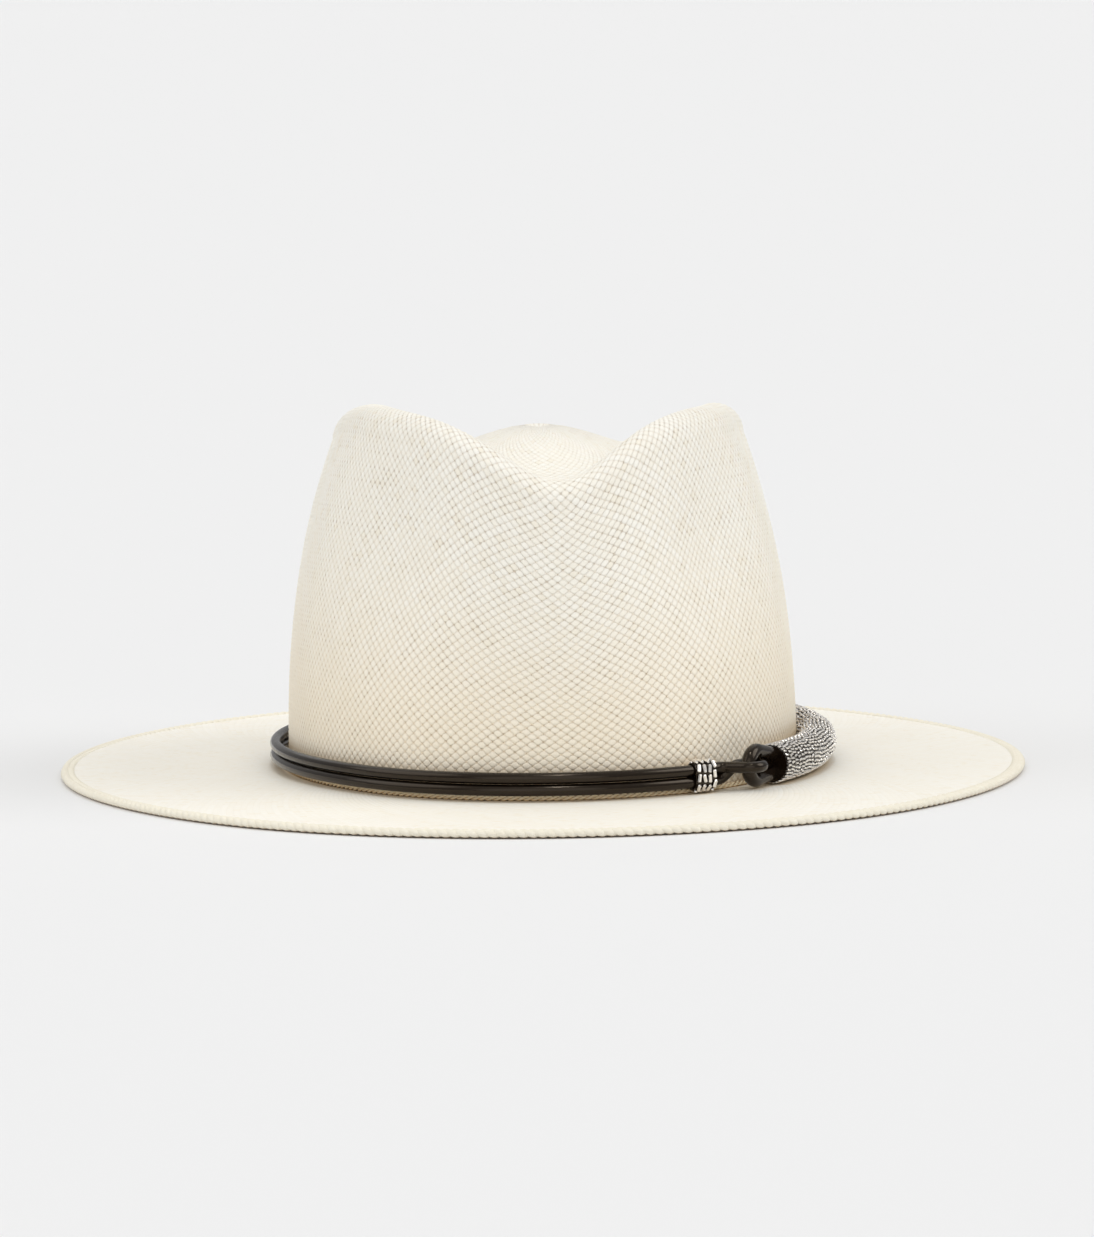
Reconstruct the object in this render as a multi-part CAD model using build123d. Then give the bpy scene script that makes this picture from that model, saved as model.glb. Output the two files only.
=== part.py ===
"""Panama hat: one woven straw body with a teardrop crown and a flat brim, a sewn-in sweatband,
and a loose hatband made of a doubled leather cord, two bead sliders and a bead-covered tube.

Millimetres, +Z up. The wearer faces -Y. The origin is under the middle of the hat, on the
surface that the brim's edge rests on.
"""
from build123d import *
from math import atan2, copysign, cos, degrees, exp, hypot, pi, radians, sin, sqrt
import os

# Head oval, measured on the outside of the crown where it meets the brim.
HALF_WIDTH = 85.5
HALF_LENGTH = 103.0
END_RADIUS = 76.0

# Brim.
BRIM_WIDTH = 77.0
STRAW = 1.8
BRIM_UNDER = 0.7
BRIM_TOP = BRIM_UNDER + STRAW
EDGE_HEIGHT = 3.2
EDGE_WIDTH = 5.0
EDGE_ROUND = 1.4
EDGE_SOCKET = 2.0

# Crown, as heights above the top of the brim.
PEAK = 123.8
NOTCH_DEPTH = 20.3
NOTCH_HALF_WIDTH = 24.5
NOTCH_SOFT = 4.0
BACK_DROP = 22.0
TAPER = 20.2
TAPER_HEIGHT = 120.0
RIM_ROLL = 8.5
DENT_DEPTH = 8.0
DENT_ANGLE = 37.0
DENT_SPREAD = 17.0
DENT_HEIGHT = 80.0
DENT_REACH = 30.0
GROOVE_HEIGHT = 104.0
GROOVE_HALF_WIDTH = 40.0
GROOVE_HALF_LENGTH = 59.0
ISLAND_TOP = 112.5
ISLAND_FLAT = 4.0
FLARE = 0.9
BASE_BRAID = 1.6
RING_POINTS = 72

# Sweatband, inside the crown.
SWEATBAND_GAP = 3.4
SWEATBAND_THICK = 1.0
SWEATBAND_TALL = 32.0
SWEATBAND_LOW = 1.0
REED = 1.6
STITCHES = 72
STITCH_LONG = 4.2
THREAD = 0.9
STITCH_Z = 3.4
STITCH_DEEP = 2.8

# Hatband cord: one leather cord, doubled, hanging clear of the straw.
CORD = 3.8
CORD_PITCH = 3.9
CORD_LOW = BRIM_TOP + 3.9
CORD_OUT = 4.4
CORD_END = 38.0
LEAD = 2.8
OUTER_LEAD = 3.3
INNER_LEAD = 1.8

# Bead-covered tube on the wearer's left side, lying in the corner of crown and brim. It is
# stiffer than the cord, so it curves a little less than the head.
TUBE_CORE = 12.0
TUBE_CLEAR = 0.2
TUBE_EASE = 12.0
TUBE_END = 33.5
BEAD_TALL = 0.75
BEAD_SUNK = 0.1
BEAD_LONG = 1.5
BEAD_PITCH = 2.05
TUBE_OUT = TUBE_CORE / 2 + BEAD_TALL + TUBE_CLEAR
TUBE_MIDDLE = BRIM_TOP + TUBE_OUT

# Leather loops at the tube's two ends.
LOOP_CORD = 4.9
LOOP_REACH = 15.9
LOOP_LIFT = 1.2
LOOP_HALF = 5.6
LOOP_ROOT_HALF = 2.7
LOOP_ROOT = 3.0
LOOP_BEND = 5.2
BIGHT_HALF = 4.5
BIGHT_BEND = 3.8

# Bead sliders on the doubled cord.
SLIDER_LONG = 8.4
SLIDER_CLEAR = 0.3
SLIDER_WALL = 0.35
SLIDER_ROWS = 4
SLIDER_ROW_PITCH = 2.0
SLIDER_BEADS_ROUND = 8
SLIDER_BEAD = 1.45
SLIDER_BEAD_LONG = 2.9
SLIDER_BEAD_SUNK = 0.3
SLIDER_ANGLE = 34.0


def side_radius(half_width, half_length, end_radius):
    """Radius of the two side arcs of an oval made of four tangent arcs."""
    rise = half_length - end_radius
    return (half_width**2 + rise**2 - end_radius**2) / (2 * (half_width - end_radius))


END_CENTRE = HALF_LENGTH - END_RADIUS
SIDE_RADIUS = side_radius(HALF_WIDTH, HALF_LENGTH, END_RADIUS)
SIDE_CENTRE = SIDE_RADIUS - HALF_WIDTH
JOIN_ANGLE = degrees(atan2(END_CENTRE, SIDE_CENTRE))
TUBE_CENTRE = SIDE_CENTRE + TUBE_EASE
TUBE_RADIUS = SIDE_RADIUS + TUBE_OUT + TUBE_EASE


def oval_edges(half_width, half_length, end_radius, z=0.0):
    """Four tangent arcs round the Z axis, counterclockwise from the +X side."""
    rise = half_length - end_radius
    wide = side_radius(half_width, half_length, end_radius)
    join = degrees(atan2(rise, wide - half_width))
    shift = wide - half_width
    return [
        CenterArc((-shift, 0, z), wide, -join, 2 * join),
        CenterArc((0, rise, z), end_radius, join, 180 - 2 * join),
        CenterArc((shift, 0, z), wide, 180 - join, 2 * join),
        CenterArc((0, -rise, z), end_radius, 180 + join, 180 - 2 * join),
    ]


def oval_face(offset, z=0.0):
    """Flat face inside the head oval, grown by offset."""
    edges = oval_edges(HALF_WIDTH + offset, HALF_LENGTH + offset, END_RADIUS + offset, z)
    return Face(Wire(edges))


def oval_ring(outer, inner, z, height):
    """Upright ring between two offsets of the head oval."""
    return extrude(oval_face(outer, z), height) - extrude(oval_face(inner, z), height)


def oval_pipe(offset, z, diameter):
    """Round pipe that follows the head oval at an offset."""
    edges = oval_edges(HALF_WIDTH + offset, HALF_LENGTH + offset, END_RADIUS + offset, z)
    pipes = []
    for edge in edges:
        section = Plane(edge @ 0, z_dir=edge % 0) * Circle(diameter / 2)
        pipes.append(sweep(section, path=edge))
    return pipes[0] + pipes[1] + pipes[2] + pipes[3]


def oval_radius(angle):
    """Distance from the Z axis to the head oval in one direction, in radians."""
    side = -SIDE_CENTRE * abs(cos(angle))
    on_side = side + sqrt(SIDE_RADIUS**2 - SIDE_CENTRE**2 + side**2)
    x, y = on_side * cos(angle), on_side * sin(angle)
    if degrees(atan2(abs(y), abs(x) + SIDE_CENTRE)) <= JOIN_ANGLE:
        return on_side
    end = END_CENTRE * abs(sin(angle))
    return end + sqrt(END_RADIUS**2 - END_CENTRE**2 + end**2)


def from_front(angle):
    """Angle from the front of the hat, 0 to 180 degrees."""
    return degrees(abs(atan2(cos(angle), -sin(angle))))


def taper(height):
    """How far the crown's wall leans in at a height above the brim."""
    return TAPER * (max(height, 0.0) / TAPER_HEIGHT) ** 2.4


def rim_height(angle):
    """Height of the crown's rim: low at the front notch, high at the sides, falling to the back."""
    turn = from_front(angle)
    across = abs((HALF_LENGTH - TAPER) * cos(angle))
    soft = hypot(across, NOTCH_SOFT) - NOTCH_SOFT
    notch = exp(-((soft / NOTCH_HALF_WIDTH) ** 1.45)) if turn < 90 else 0.0
    back = (1 - cos(pi * min(max((turn - 62) / 105, 0.0), 1.0))) / 2
    return PEAK - NOTCH_DEPTH * notch - BACK_DROP * back


def pinch(angle, height):
    """Depth of the two finger dents at the front of the crown."""
    sideways = (from_front(angle) - DENT_ANGLE) / DENT_SPREAD
    upright = (height - DENT_HEIGHT) / DENT_REACH
    return DENT_DEPTH * exp(-(sideways**2) - upright**2)


def crown_profile(angle):
    """(distance from the axis, height above the brim) from the brim up over the rim to the middle."""
    base = oval_radius(angle)
    rim = rim_height(angle)
    shoulder = rim - RIM_ROLL
    lean = taper(shoulder)
    points = [(base + FLARE, 0.0), (base + FLARE * 0.28, FLARE * 0.3), (base, FLARE)]
    for share in (0.12, 0.25, 0.4, 0.55, 0.7, 0.84, 0.94, 1.0):
        height = share * shoulder
        points.append((base - taper(height) - pinch(angle, height), height))
    edge = base - lean - pinch(angle, shoulder)
    points.append((edge - 0.28 * RIM_ROLL, rim - 0.32 * RIM_ROLL))
    crest = edge - RIM_ROLL
    points.append((crest, rim))
    front = sin(angle) < 0
    groove = GROOVE_HEIGHT - (3.5 if front else 8.0) * sin(angle) ** 2
    half_width = GROOVE_HALF_WIDTH + 4.0 * sin(angle)
    reach = 1 / hypot(cos(angle) / half_width, sin(angle) / GROOVE_HALF_LENGTH)
    for share in (0.25, 0.5, 0.75, 1.0):
        fall = (1 + cos(pi * share)) / 2
        points.append((crest + (reach - crest) * share, groove + (rim - groove) * fall))
    for share in (0.3, 0.55, 0.8):
        lift = (1 - cos(pi * share)) / 2
        points.append((reach * (1 - share), groove + (ISLAND_TOP - groove) * lift))
    points.append((ISLAND_FLAT, ISLAND_TOP))
    return points


def inner_profile(angle):
    """The same profile moved inwards by the thickness of the straw."""
    outer = crown_profile(angle)
    inner = []
    for k, (radius, height) in enumerate(outer):
        before = outer[max(k - 1, 0)]
        after = outer[min(k + 1, len(outer) - 1)]
        along, up = after[0] - before[0], after[1] - before[1]
        length = hypot(along, up)
        inner.append((radius - STRAW * up / length, height + STRAW * along / length))
    inner[0] = (outer[0][0] - 0.4, -STRAW - 1.0)
    inner[1] = (outer[1][0] - STRAW + 0.9, -STRAW + 0.2)
    inner[-1] = (ISLAND_FLAT, ISLAND_TOP - STRAW)
    return inner


def crown_block(profile):
    """Solid through closed rings, one ring for each point of the profile."""
    angles = [2 * pi * k / RING_POINTS + pi / 2 for k in range(RING_POINTS)]
    profiles = [profile(angle) for angle in angles]
    shares = [k / RING_POINTS for k in range(RING_POINTS + 1)]
    rings = []
    for level in range(len(profiles[0])):
        points = [
            Vector(p[level][0] * cos(a), p[level][0] * sin(a), BRIM_TOP + p[level][1])
            for a, p in zip(angles, profiles)
        ]
        rings.append(Wire([Edge.make_spline(points, periodic=True, parameters=shares)]))
    return Solid.make_loft(rings, ruled=True)


def straw_body():
    """Crown and brim, woven as one piece."""
    plate_reach = BRIM_WIDTH - EDGE_WIDTH + EDGE_SOCKET
    plate = extrude(oval_face(plate_reach, BRIM_UNDER), STRAW)
    return crown_block(crown_profile) + plate - crown_block(inner_profile)


def edge_braid():
    """Braid round the brim's edge, with the plate of the brim let into it."""
    ring = oval_ring(BRIM_WIDTH, BRIM_WIDTH - EDGE_WIDTH, 0.0, EDGE_HEIGHT)
    top_and_bottom = ring.faces().filter_by(Axis.Z)
    ring = fillet(top_and_bottom.edges(), EDGE_ROUND)
    socket = BRIM_WIDTH - EDGE_WIDTH + EDGE_SOCKET
    return ring - oval_ring(socket, socket - 2 * EDGE_SOCKET, BRIM_UNDER, STRAW)


def base_braid():
    """Rope-like row of straw in the corner where the crown meets the brim."""
    radius = BASE_BRAID / 2
    return oval_pipe(radius, BRIM_TOP + radius, BASE_BRAID)


def sweatband():
    """Upright leather band inside the crown."""
    outer = -SWEATBAND_GAP
    return oval_ring(outer, outer - SWEATBAND_THICK, SWEATBAND_LOW, SWEATBAND_TALL)


def sweatband_reed():
    """Round reed between the sweatband's lower edge and the straw."""
    return oval_pipe(-SWEATBAND_GAP + REED / 2, SWEATBAND_LOW + REED / 2, REED)


def sweatband_stitches():
    """Stitches that run through the sweatband into the straw, one solid for each."""
    stitches = []
    inner = -SWEATBAND_GAP - SWEATBAND_THICK
    path = oval_face(inner, STITCH_Z).outer_wire()
    for k in range(STITCHES):
        place = path.position_at(k / STITCHES)
        along = path.tangent_at(k / STITCHES)
        top = Plane(place, x_dir=along, z_dir=(0, 0, 1))
        bar = top * Rot(0, 90, 0) * Cylinder(THREAD / 2, STITCH_LONG)
        pin = top * Pos(STITCH_LONG / 3, 0, 0) * Rot(90, 0, 0) * Cylinder(THREAD / 2, 2 * STITCH_DEEP)
        stitches.append(bar + pin)
    return Compound(children=stitches)


def tube_place(angle):
    """Point, tangent towards the front and outward normal on the tube's middle line."""
    turn = radians(angle)
    point = Vector(TUBE_RADIUS * cos(turn) - TUBE_CENTRE, TUBE_RADIUS * sin(turn), TUBE_MIDDLE)
    return point, Vector(sin(turn), -cos(turn), 0), Vector(cos(turn), sin(turn), 0)


def front_loop():
    """U-shaped leather loop standing out of the tube's front end."""
    point, along, _ = tube_place(-TUBE_END)
    up = Vector(0, 0, 1)
    tip = point + along * LOOP_REACH + up * LOOP_LIFT
    path = FilletPolyline(
        point - along * LOOP_ROOT + up * LOOP_ROOT_HALF,
        tip + up * LOOP_HALF,
        tip - up * LOOP_HALF,
        point - along * LOOP_ROOT - up * LOOP_ROOT_HALF,
        radius=LOOP_BEND,
    )
    section = Plane(path @ 0, z_dir=path % 0) * Circle(LOOP_CORD / 2)
    return sweep(section, path=path)


def bight():
    """Front end of the doubled cord, linked through the front loop."""
    point, along, out = tube_place(-TUBE_END)
    limb = point + along * LOOP_REACH + Vector(0, 0, LOOP_LIFT)
    turn = radians(CORD_END)
    radius = END_RADIUS + CORD_OUT
    start = Vector(radius * sin(turn), -END_CENTRE - radius * cos(turn), CORD_LOW)
    ahead = Vector(cos(turn), sin(turn), 0)
    upper = start + Vector(0, 0, CORD_PITCH)
    path = FilletPolyline(
        upper,
        upper + ahead * LEAD,
        limb + out * BIGHT_HALF + along * OUTER_LEAD,
        limb + out * BIGHT_HALF - along * BIGHT_HALF,
        limb - out * BIGHT_HALF - along * BIGHT_HALF,
        limb - out * BIGHT_HALF + along * INNER_LEAD,
        start + ahead * LEAD,
        start,
        radius=BIGHT_BEND,
    )
    section = Plane(path @ 0, z_dir=path % 0) * Circle(CORD / 2)
    return sweep(section, path=path)


def strand(z):
    """One run of the cord round the hat, from the front link past the wearer's right to the rear."""
    centre = (0, -END_CENTRE, z)
    radius = END_RADIUS + CORD_OUT
    front = CenterArc(centre, radius, CORD_END - 90, JOIN_ANGLE - 90 - CORD_END)
    side = CenterArc((SIDE_CENTRE, 0, z), SIDE_RADIUS + CORD_OUT, 180 + JOIN_ANGLE, -2 * JOIN_ANGLE)
    pipes = []
    for edge in (front, side):
        section = Plane(edge @ 0, z_dir=edge % 0) * Circle(CORD / 2)
        pipes.append(sweep(section, path=edge))
    return pipes[0] + mirror(pipes[0], about=Plane.XZ) + pipes[1]


def band_cord():
    """The whole closed cord: two runs joined by a bight at each end."""
    front = bight()
    return strand(CORD_LOW) + strand(CORD_LOW + CORD_PITCH) + front + mirror(front, about=Plane.XZ)


def tube_core(loops):
    """Leather tube, with the roots of the two loops let into its ends."""
    point, along, _ = tube_place(-TUBE_END)
    path = CenterArc((-TUBE_CENTRE, 0, TUBE_MIDDLE), TUBE_RADIUS, -TUBE_END, 2 * TUBE_END)
    core = sweep(Plane(point, z_dir=-along) * Circle(TUBE_CORE / 2), path=path)
    for loop in loops:
        core -= loop
    return core


def tube_beads():
    """Rows of beads sewn round the tube, one ring for each row."""
    count = int(radians(2 * TUBE_END) * TUBE_RADIUS / BEAD_PITCH)
    outer = TUBE_CORE / 2 + BEAD_TALL
    inner = TUBE_CORE / 2 - BEAD_SUNK
    ring = Cylinder(outer, BEAD_LONG) - Cylinder(inner, BEAD_LONG)
    rows = []
    for k in range(count):
        point, along, _ = tube_place(2 * TUBE_END * ((k + 0.5) / count - 0.5))
        rows.append(Plane(point, z_dir=along) * ring)
    return Compound(children=rows)


def slider_section(grow):
    """Stadium round both runs of the cord, in the plane x = distance from the arc's centre."""
    radius = CORD / 2 + grow
    middle = (END_RADIUS + CORD_OUT, CORD_LOW + CORD_PITCH / 2)
    return Plane.XZ * Pos(*middle) * Rot(0, 0, 90) * SlotCenterToCenter(CORD_PITCH, 2 * radius)


def at_slider(part):
    """Turn a part made round the Z axis to the front slider's place."""
    return Pos(0, -END_CENTRE, 0) * Rot(0, 0, SLIDER_ANGLE - 90) * part


def slider_sleeve():
    """Leather sleeve round the two runs of the cord."""
    sweep_angle = degrees(SLIDER_LONG / (END_RADIUS + CORD_OUT))
    section = slider_section(SLIDER_CLEAR + SLIDER_WALL) - slider_section(SLIDER_CLEAR)
    ring = revolve(section, axis=Axis.Z, revolution_arc=sweep_angle)
    return at_slider(Rot(0, 0, -sweep_angle / 2) * ring)


def slider_beads():
    """Bars of bead sewn round the sleeve, long way round it."""
    grow = SLIDER_CLEAR + SLIDER_WALL + SLIDER_BEAD / 2 - SLIDER_BEAD_SUNK
    path = slider_section(grow).face().outer_wire()
    bar = fillet(Cylinder(SLIDER_BEAD / 2, SLIDER_BEAD_LONG).edges(), SLIDER_BEAD * 0.4)
    beads = []
    for row in range(SLIDER_ROWS):
        shift = (row - (SLIDER_ROWS - 1) / 2) * SLIDER_ROW_PITCH
        turn = degrees(shift / (END_RADIUS + CORD_OUT))
        for k in range(SLIDER_BEADS_ROUND):
            share = (k + 0.5) / SLIDER_BEADS_ROUND
            place = Plane(path.position_at(share), z_dir=path.tangent_at(share))
            beads.append(at_slider(Rot(0, 0, turn) * place.location * bar))
    return Compound(children=beads)


def rear(part):
    """The matching part at the rear of the hat."""
    return mirror(part, about=Plane.XZ)


loop = front_loop()
sleeve = slider_sleeve()
beads = slider_beads()
NODES = {
    "straw_body": straw_body(),
    "brim_edge_braid": edge_braid(),
    "crown_base_braid": base_braid(),
    "sweatband": sweatband(),
    "sweatband_reed": sweatband_reed(),
    "sweatband_stitches": sweatband_stitches(),
    "band_cord": band_cord(),
    "bead_tube_core": tube_core([loop, rear(loop)]),
    "bead_tube_beads": tube_beads(),
    "front_loop": loop,
    "rear_loop": rear(loop),
    "front_slider_sleeve": sleeve,
    "front_slider_beads": beads,
    "rear_slider_sleeve": rear(sleeve),
    "rear_slider_beads": rear(beads),
}

os.makedirs("parts", exist_ok=True)
for name, part in NODES.items():
    export_step(part, f"parts/{name}.step")
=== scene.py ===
import bpy
import math
import numpy as np
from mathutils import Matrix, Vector


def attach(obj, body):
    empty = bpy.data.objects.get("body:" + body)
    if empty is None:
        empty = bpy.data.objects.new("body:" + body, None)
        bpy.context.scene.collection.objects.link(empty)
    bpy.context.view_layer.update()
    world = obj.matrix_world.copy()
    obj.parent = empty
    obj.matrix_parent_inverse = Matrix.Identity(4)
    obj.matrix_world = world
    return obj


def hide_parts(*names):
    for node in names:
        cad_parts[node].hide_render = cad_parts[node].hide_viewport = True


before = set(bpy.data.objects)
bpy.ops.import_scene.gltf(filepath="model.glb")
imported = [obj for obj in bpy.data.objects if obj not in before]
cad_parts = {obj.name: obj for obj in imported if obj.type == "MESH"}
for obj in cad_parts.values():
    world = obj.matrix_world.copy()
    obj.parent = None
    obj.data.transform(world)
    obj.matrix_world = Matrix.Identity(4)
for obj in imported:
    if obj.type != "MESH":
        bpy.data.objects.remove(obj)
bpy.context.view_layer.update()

# Studio: a pale floor without a horizon under a sky that brightens upwards, with wide lights from
# the right, the left, the front and behind, and a small one above that puts a line of gloss on the
# leather and the beads. The camera looks at the front from a little above.
MM = 0.001
CAMERA_FAR = 3.0
CAMERA_UP = 6.2
CAMERA_TURN = -4.5
CAMERA_ROLL = -0.8
CAMERA_AIM = (0.0022, 0.0, 0.051)
LENS = 259.0
FLOOR_SIZE = 60.0
SKY_LOW = 0.36
SKY_HIGH = 0.60
LIGHTS = [
    # name, direction it comes from, strength, spread in degrees
    ("key_light", (1.8, -0.3, 1.5), 0.97, 40.0),
    ("left_light", (-1.8, -0.1, 1.3), 0.64, 50.0),
    ("front_fill", (-0.3, -2.0, 0.6), 0.58, 60.0),
    ("top_light", (0.1, -1.0, 3.0), 0.34, 5.0),
    ("back_light", (-0.3, 1.4, 1.8), 0.40, 60.0),
]


def linear(code, alpha=1.0):
    """Scene-linear colour of an sRGB hex code."""
    parts = [int(code[k:k + 2], 16) / 255 for k in (1, 3, 5)]
    return [c / 12.92 if c <= 0.04045 else ((c + 0.055) / 1.055) ** 2.4 for c in parts] + [alpha]


def aim(thing, target):
    """Turn a camera or light to look at a point."""
    away = thing.location - target
    thing.rotation_euler = away.to_track_quat("Z", "Y").to_euler()


def add(tree, kind, *values, out=0, **named):
    """Add a node and give its output out. values fill its inputs in order. Of the named ones, those
    in lower case are settings, and the others are inputs, by name or as S6, S7 by number."""
    made = tree.nodes.new("ShaderNode" + kind)
    inputs = dict(enumerate(values))
    for key, value in named.items():
        if key.islower():
            setattr(made, key, value)
        else:
            inputs[int(key[1:]) if key[1:].isdigit() else key.replace("_", " ")] = value
    for place, value in inputs.items():
        if isinstance(value, bpy.types.NodeSocket):
            tree.links.new(value, made.inputs[place])
        else:
            made.inputs[place].default_value = value
    return made.outputs[out]


def material(name):
    """New node material: (material, its tree, its shader)."""
    made = bpy.data.materials.new(name)
    made.use_nodes = True
    return made, made.node_tree, made.node_tree.nodes["Principled BSDF"]


def paint(thing, finish):
    """Give a piece or a CAD node one material all over."""
    thing.data.materials.clear()
    thing.data.materials.append(finish)


camera = bpy.data.objects.new("camera", bpy.data.cameras.new("camera"))
bpy.context.collection.objects.link(camera)
turn, up = math.radians(CAMERA_TURN), math.radians(CAMERA_UP)
camera.location = (
    CAMERA_AIM[0] + CAMERA_FAR * math.cos(up) * math.sin(turn),
    CAMERA_AIM[1] - CAMERA_FAR * math.cos(up) * math.cos(turn),
    CAMERA_AIM[2] + CAMERA_FAR * math.sin(up),
)
camera.data.lens = LENS
camera.data.clip_end = 100.0
aim(camera, Vector(CAMERA_AIM))
camera.rotation_euler.rotate_axis("Z", math.radians(CAMERA_ROLL))
bpy.context.scene.camera = camera

bpy.ops.object.select_all(action="DESELECT")
bpy.ops.mesh.primitive_plane_add(size=FLOOR_SIZE)
floor = bpy.context.active_object
floor.name = "floor"
floor_paint, tree, shader = material("pale_floor")
shader.inputs["Base Color"].default_value = linear("#E9E9E9")
shader.inputs["Roughness"].default_value = 0.9
shader.inputs["Specular IOR Level"].default_value = 0.1
paint(floor, floor_paint)

world = bpy.data.worlds.new("studio")
bpy.context.scene.world = world
world.use_nodes = True
world.node_tree.nodes["Background"].inputs["Color"].default_value = linear("#FFFFFF")
tree = world.node_tree
direction = add(tree, "TexCoord", out="Generated")
above = add(tree, "SeparateXYZ", direction, out=2)
glow = add(tree, "MapRange", Value=above, From_Min=0.0, From_Max=1.0, To_Min=SKY_LOW, To_Max=SKY_HIGH)
tree.links.new(glow, tree.nodes["Background"].inputs["Strength"])
bpy.context.scene.view_settings.view_transform = "Standard"
for name, place, strength, spread in LIGHTS:
    light = bpy.data.objects.new(name, bpy.data.lights.new(name, "SUN"))
    light.data.energy = strength
    light.data.angle = math.radians(spread)
    bpy.context.collection.objects.link(light)
    light.location = place
    aim(light, Vector(CAMERA_AIM))

# Crown: woven in one piece with the brim from strands of toquilla straw, two sets of strands
# crossing over and under each other. It is pressed to a teardrop, with two finger dents at the
# front and a groove round a raised island on top.
HALF_WIDTH = 85.5
HALF_LENGTH = 103.0
END_RADIUS = 76.0
BRIM_TOP = 2.5
STRAW = 1.7
PEAK = 123.3
NOTCH_DEPTH = 20.3
NOTCH_HALF_WIDTH = 24.5
NOTCH_SOFT = 4.0
NOTCH_SKEW = 3.0
NOTCH_POWER = 1.45
BACK_DROP = 22.0
BACK_DROP_FROM = 62.0
BACK_DROP_RUN = 105.0
TAPER = 20.2
TAPER_HEIGHT = 120.0
TAPER_POWER = 2.4
RIM_ROLL = 8.5
DENT_DEPTH = 8.0
DENT_ANGLE = 37.0
DENT_SPREAD = 17.0
DENT_HEIGHT = 80.0
DENT_REACH = 30.0
GROOVE_HEIGHT = 104.0
GROOVE_HALF_WIDTH = 40.0
GROOVE_HALF_LENGTH = 59.0
GROOVE_PEAR = 4.0
GROOVE_FALL_FRONT = 5.5
GROOVE_FALL_BACK = 8.0
ISLAND_TOP = 112.5
ISLAND_EASE = 0.97
CROWN_FOOT = -1.0
HALF_COLUMNS = 384
WALL_ROWS = 36
ROLL_ROWS = 4
GROOVE_ROWS = 8
SIDE_CROWDING = 0.06
PEBBLE = 0.17
HOLLOW = 0.11
HAND_WAVE = 0.30
LEFT_LIFT = 1.1
TIP_START = 1.05
SEAM_INSIDE = 0.95
SEAM_DIVE = 1.2
SEAM_FROM = 0.94
TIP_RELIEF = 0.65
TIP_UNDER_END = 0.1
TIP_UNDER_RINGS = 10
TIP_BANDS = [
    # share of the island's radius where the band ends, rows of the weave in it
    (0.5, 10),
    (0.25, 5),
    (0.125, 3),
    (0.05, 2),
]
LINING_STEP = 4
EDGE_ROW = 200.0

rise = HALF_LENGTH - END_RADIUS
SIDE_RADIUS = (HALF_WIDTH**2 + rise**2 - END_RADIUS**2) / (2 * (HALF_WIDTH - END_RADIUS))
SIDE_CENTRE = SIDE_RADIUS - HALF_WIDTH
JOIN_ANGLE = math.atan2(rise, SIDE_CENTRE)


def oval_radius(angle, grow=0.0):
    """Distance from the Z axis to the head oval, grown by an offset, at each angle."""
    c, s = np.abs(np.cos(angle)), np.abs(np.sin(angle))
    side, end = SIDE_RADIUS + grow, END_RADIUS + grow
    on_side = -SIDE_CENTRE * c + np.sqrt(side**2 - (SIDE_CENTRE * s) ** 2)
    on_end = rise * s + np.sqrt(end**2 - (rise * c) ** 2)
    turned = np.arctan2(on_side * s, on_side * c + SIDE_CENTRE)
    return np.where(turned <= JOIN_ANGLE, on_side, on_end)


def from_front(angle):
    """Angle from the front of the hat in degrees, 0 to 180."""
    return np.degrees(np.abs(np.arctan2(np.cos(angle), -np.sin(angle))))


def rim_height(angle):
    """Height of the crown's rim above the brim."""
    away = from_front(angle)
    across = np.abs((HALF_LENGTH - TAPER) * np.cos(angle))
    soft = np.sqrt(across**2 + NOTCH_SOFT**2) - NOTCH_SOFT
    half_width = NOTCH_HALF_WIDTH - NOTCH_SKEW * np.cos(angle)
    notch = np.where(away < 90, np.exp(-((soft / half_width) ** NOTCH_POWER)), 0.0)
    back = (1 - np.cos(math.pi * np.clip((away - BACK_DROP_FROM) / BACK_DROP_RUN, 0, 1))) / 2
    return PEAK - NOTCH_DEPTH * notch - BACK_DROP * back - LEFT_LIFT * np.cos(angle)


def wall_radius(angle, height):
    """Distance from the Z axis to the outside of the crown's wall."""
    lean = TAPER * (np.maximum(height, 0) / TAPER_HEIGHT) ** TAPER_POWER
    sideways = (from_front(angle) - DENT_ANGLE) / DENT_SPREAD
    upright = (height - DENT_HEIGHT) / DENT_REACH
    return oval_radius(angle) - lean - DENT_DEPTH * np.exp(-(sideways**2) - upright**2)


def groove_reach(angle):
    """Distance from the Z axis to the bottom of the groove."""
    half_width = GROOVE_HALF_WIDTH + GROOVE_PEAR * np.sin(angle)
    return 1 / np.hypot(np.cos(angle) / half_width, np.sin(angle) / GROOVE_HALF_LENGTH)


def groove_floor(angle):
    """Height of the bottom of the groove."""
    drop = np.where(np.sin(angle) < 0, GROOVE_FALL_FRONT, GROOVE_FALL_BACK)
    return GROOVE_HEIGHT - drop * np.sin(angle) ** 2


def crown_outside(angle, row):
    """Point on the crown's outside, from its foot over the rim to the groove."""
    shoulder = rim_height(angle) - RIM_ROLL
    wall = np.clip(row / WALL_ROWS, 0, 1)
    roll = np.clip((row - WALL_ROWS) / ROLL_ROWS, 0, 1) * math.pi / 2
    dip = np.clip((row - WALL_ROWS - ROLL_ROWS) / GROOVE_ROWS, 0, 1)
    height = CROWN_FOOT + (shoulder - CROWN_FOOT) * wall
    radius = wall_radius(angle, height) - RIM_ROLL * (1 - np.cos(roll))
    height = height + RIM_ROLL * np.sin(roll)
    radius = radius + (SEAM_INSIDE * groove_reach(angle) - radius) * dip
    height = height - (height - groove_floor(angle)) * (1 - np.cos(math.pi * dip)) / 2
    height = height - SEAM_DIVE * np.clip((dip - SEAM_FROM) / (1 - SEAM_FROM), 0, 1)
    return np.stack([radius * np.cos(angle), radius * np.sin(angle), BRIM_TOP + height], -1)


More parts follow.
